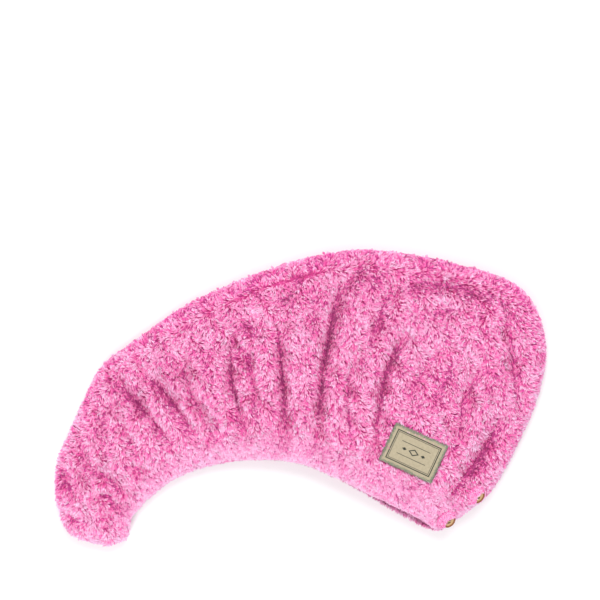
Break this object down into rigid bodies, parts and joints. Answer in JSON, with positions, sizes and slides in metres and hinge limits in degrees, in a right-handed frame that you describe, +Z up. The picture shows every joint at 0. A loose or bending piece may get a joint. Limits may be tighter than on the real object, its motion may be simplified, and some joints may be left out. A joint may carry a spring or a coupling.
{
  "type": "hair turban towel",
  "caption": "Crescent pocket of plush cloth that lies flat, open along its concave gathered hem, with a woven patch, wooden buttons at the nape and an elastic loop under the tail.",
  "frame": {"origin": "on the floor, under the middle of the outline as it lies", "axes": "+X from the tail to the back of the crown, +Y from the hem to the top of the crown, +Z up"},
  "size_m": [0.6139, 0.3702, 0.0519],
  "materials": {
    "plush": "deep coral fleece, pink, darker in the creases",
    "band_plush": "shorter nap of the same fleece over the elastic",
    "patch_weave": "plain linen weave with an overlocked edge",
    "button_wood": "satin, darker rim, pale dish",
    "elastic": "braided elastic cord"
  },
  "bodies": {
    "root": {"upper_panel": "plush", "lower_panel": "plush", "upper_band": "band_plush", "lower_band": "band_plush", "label_patch": "patch_weave", "button_nape": "button_wood", "button_back": "button_wood", "tail_loop": "elastic"}
  },
  "joints": []
}
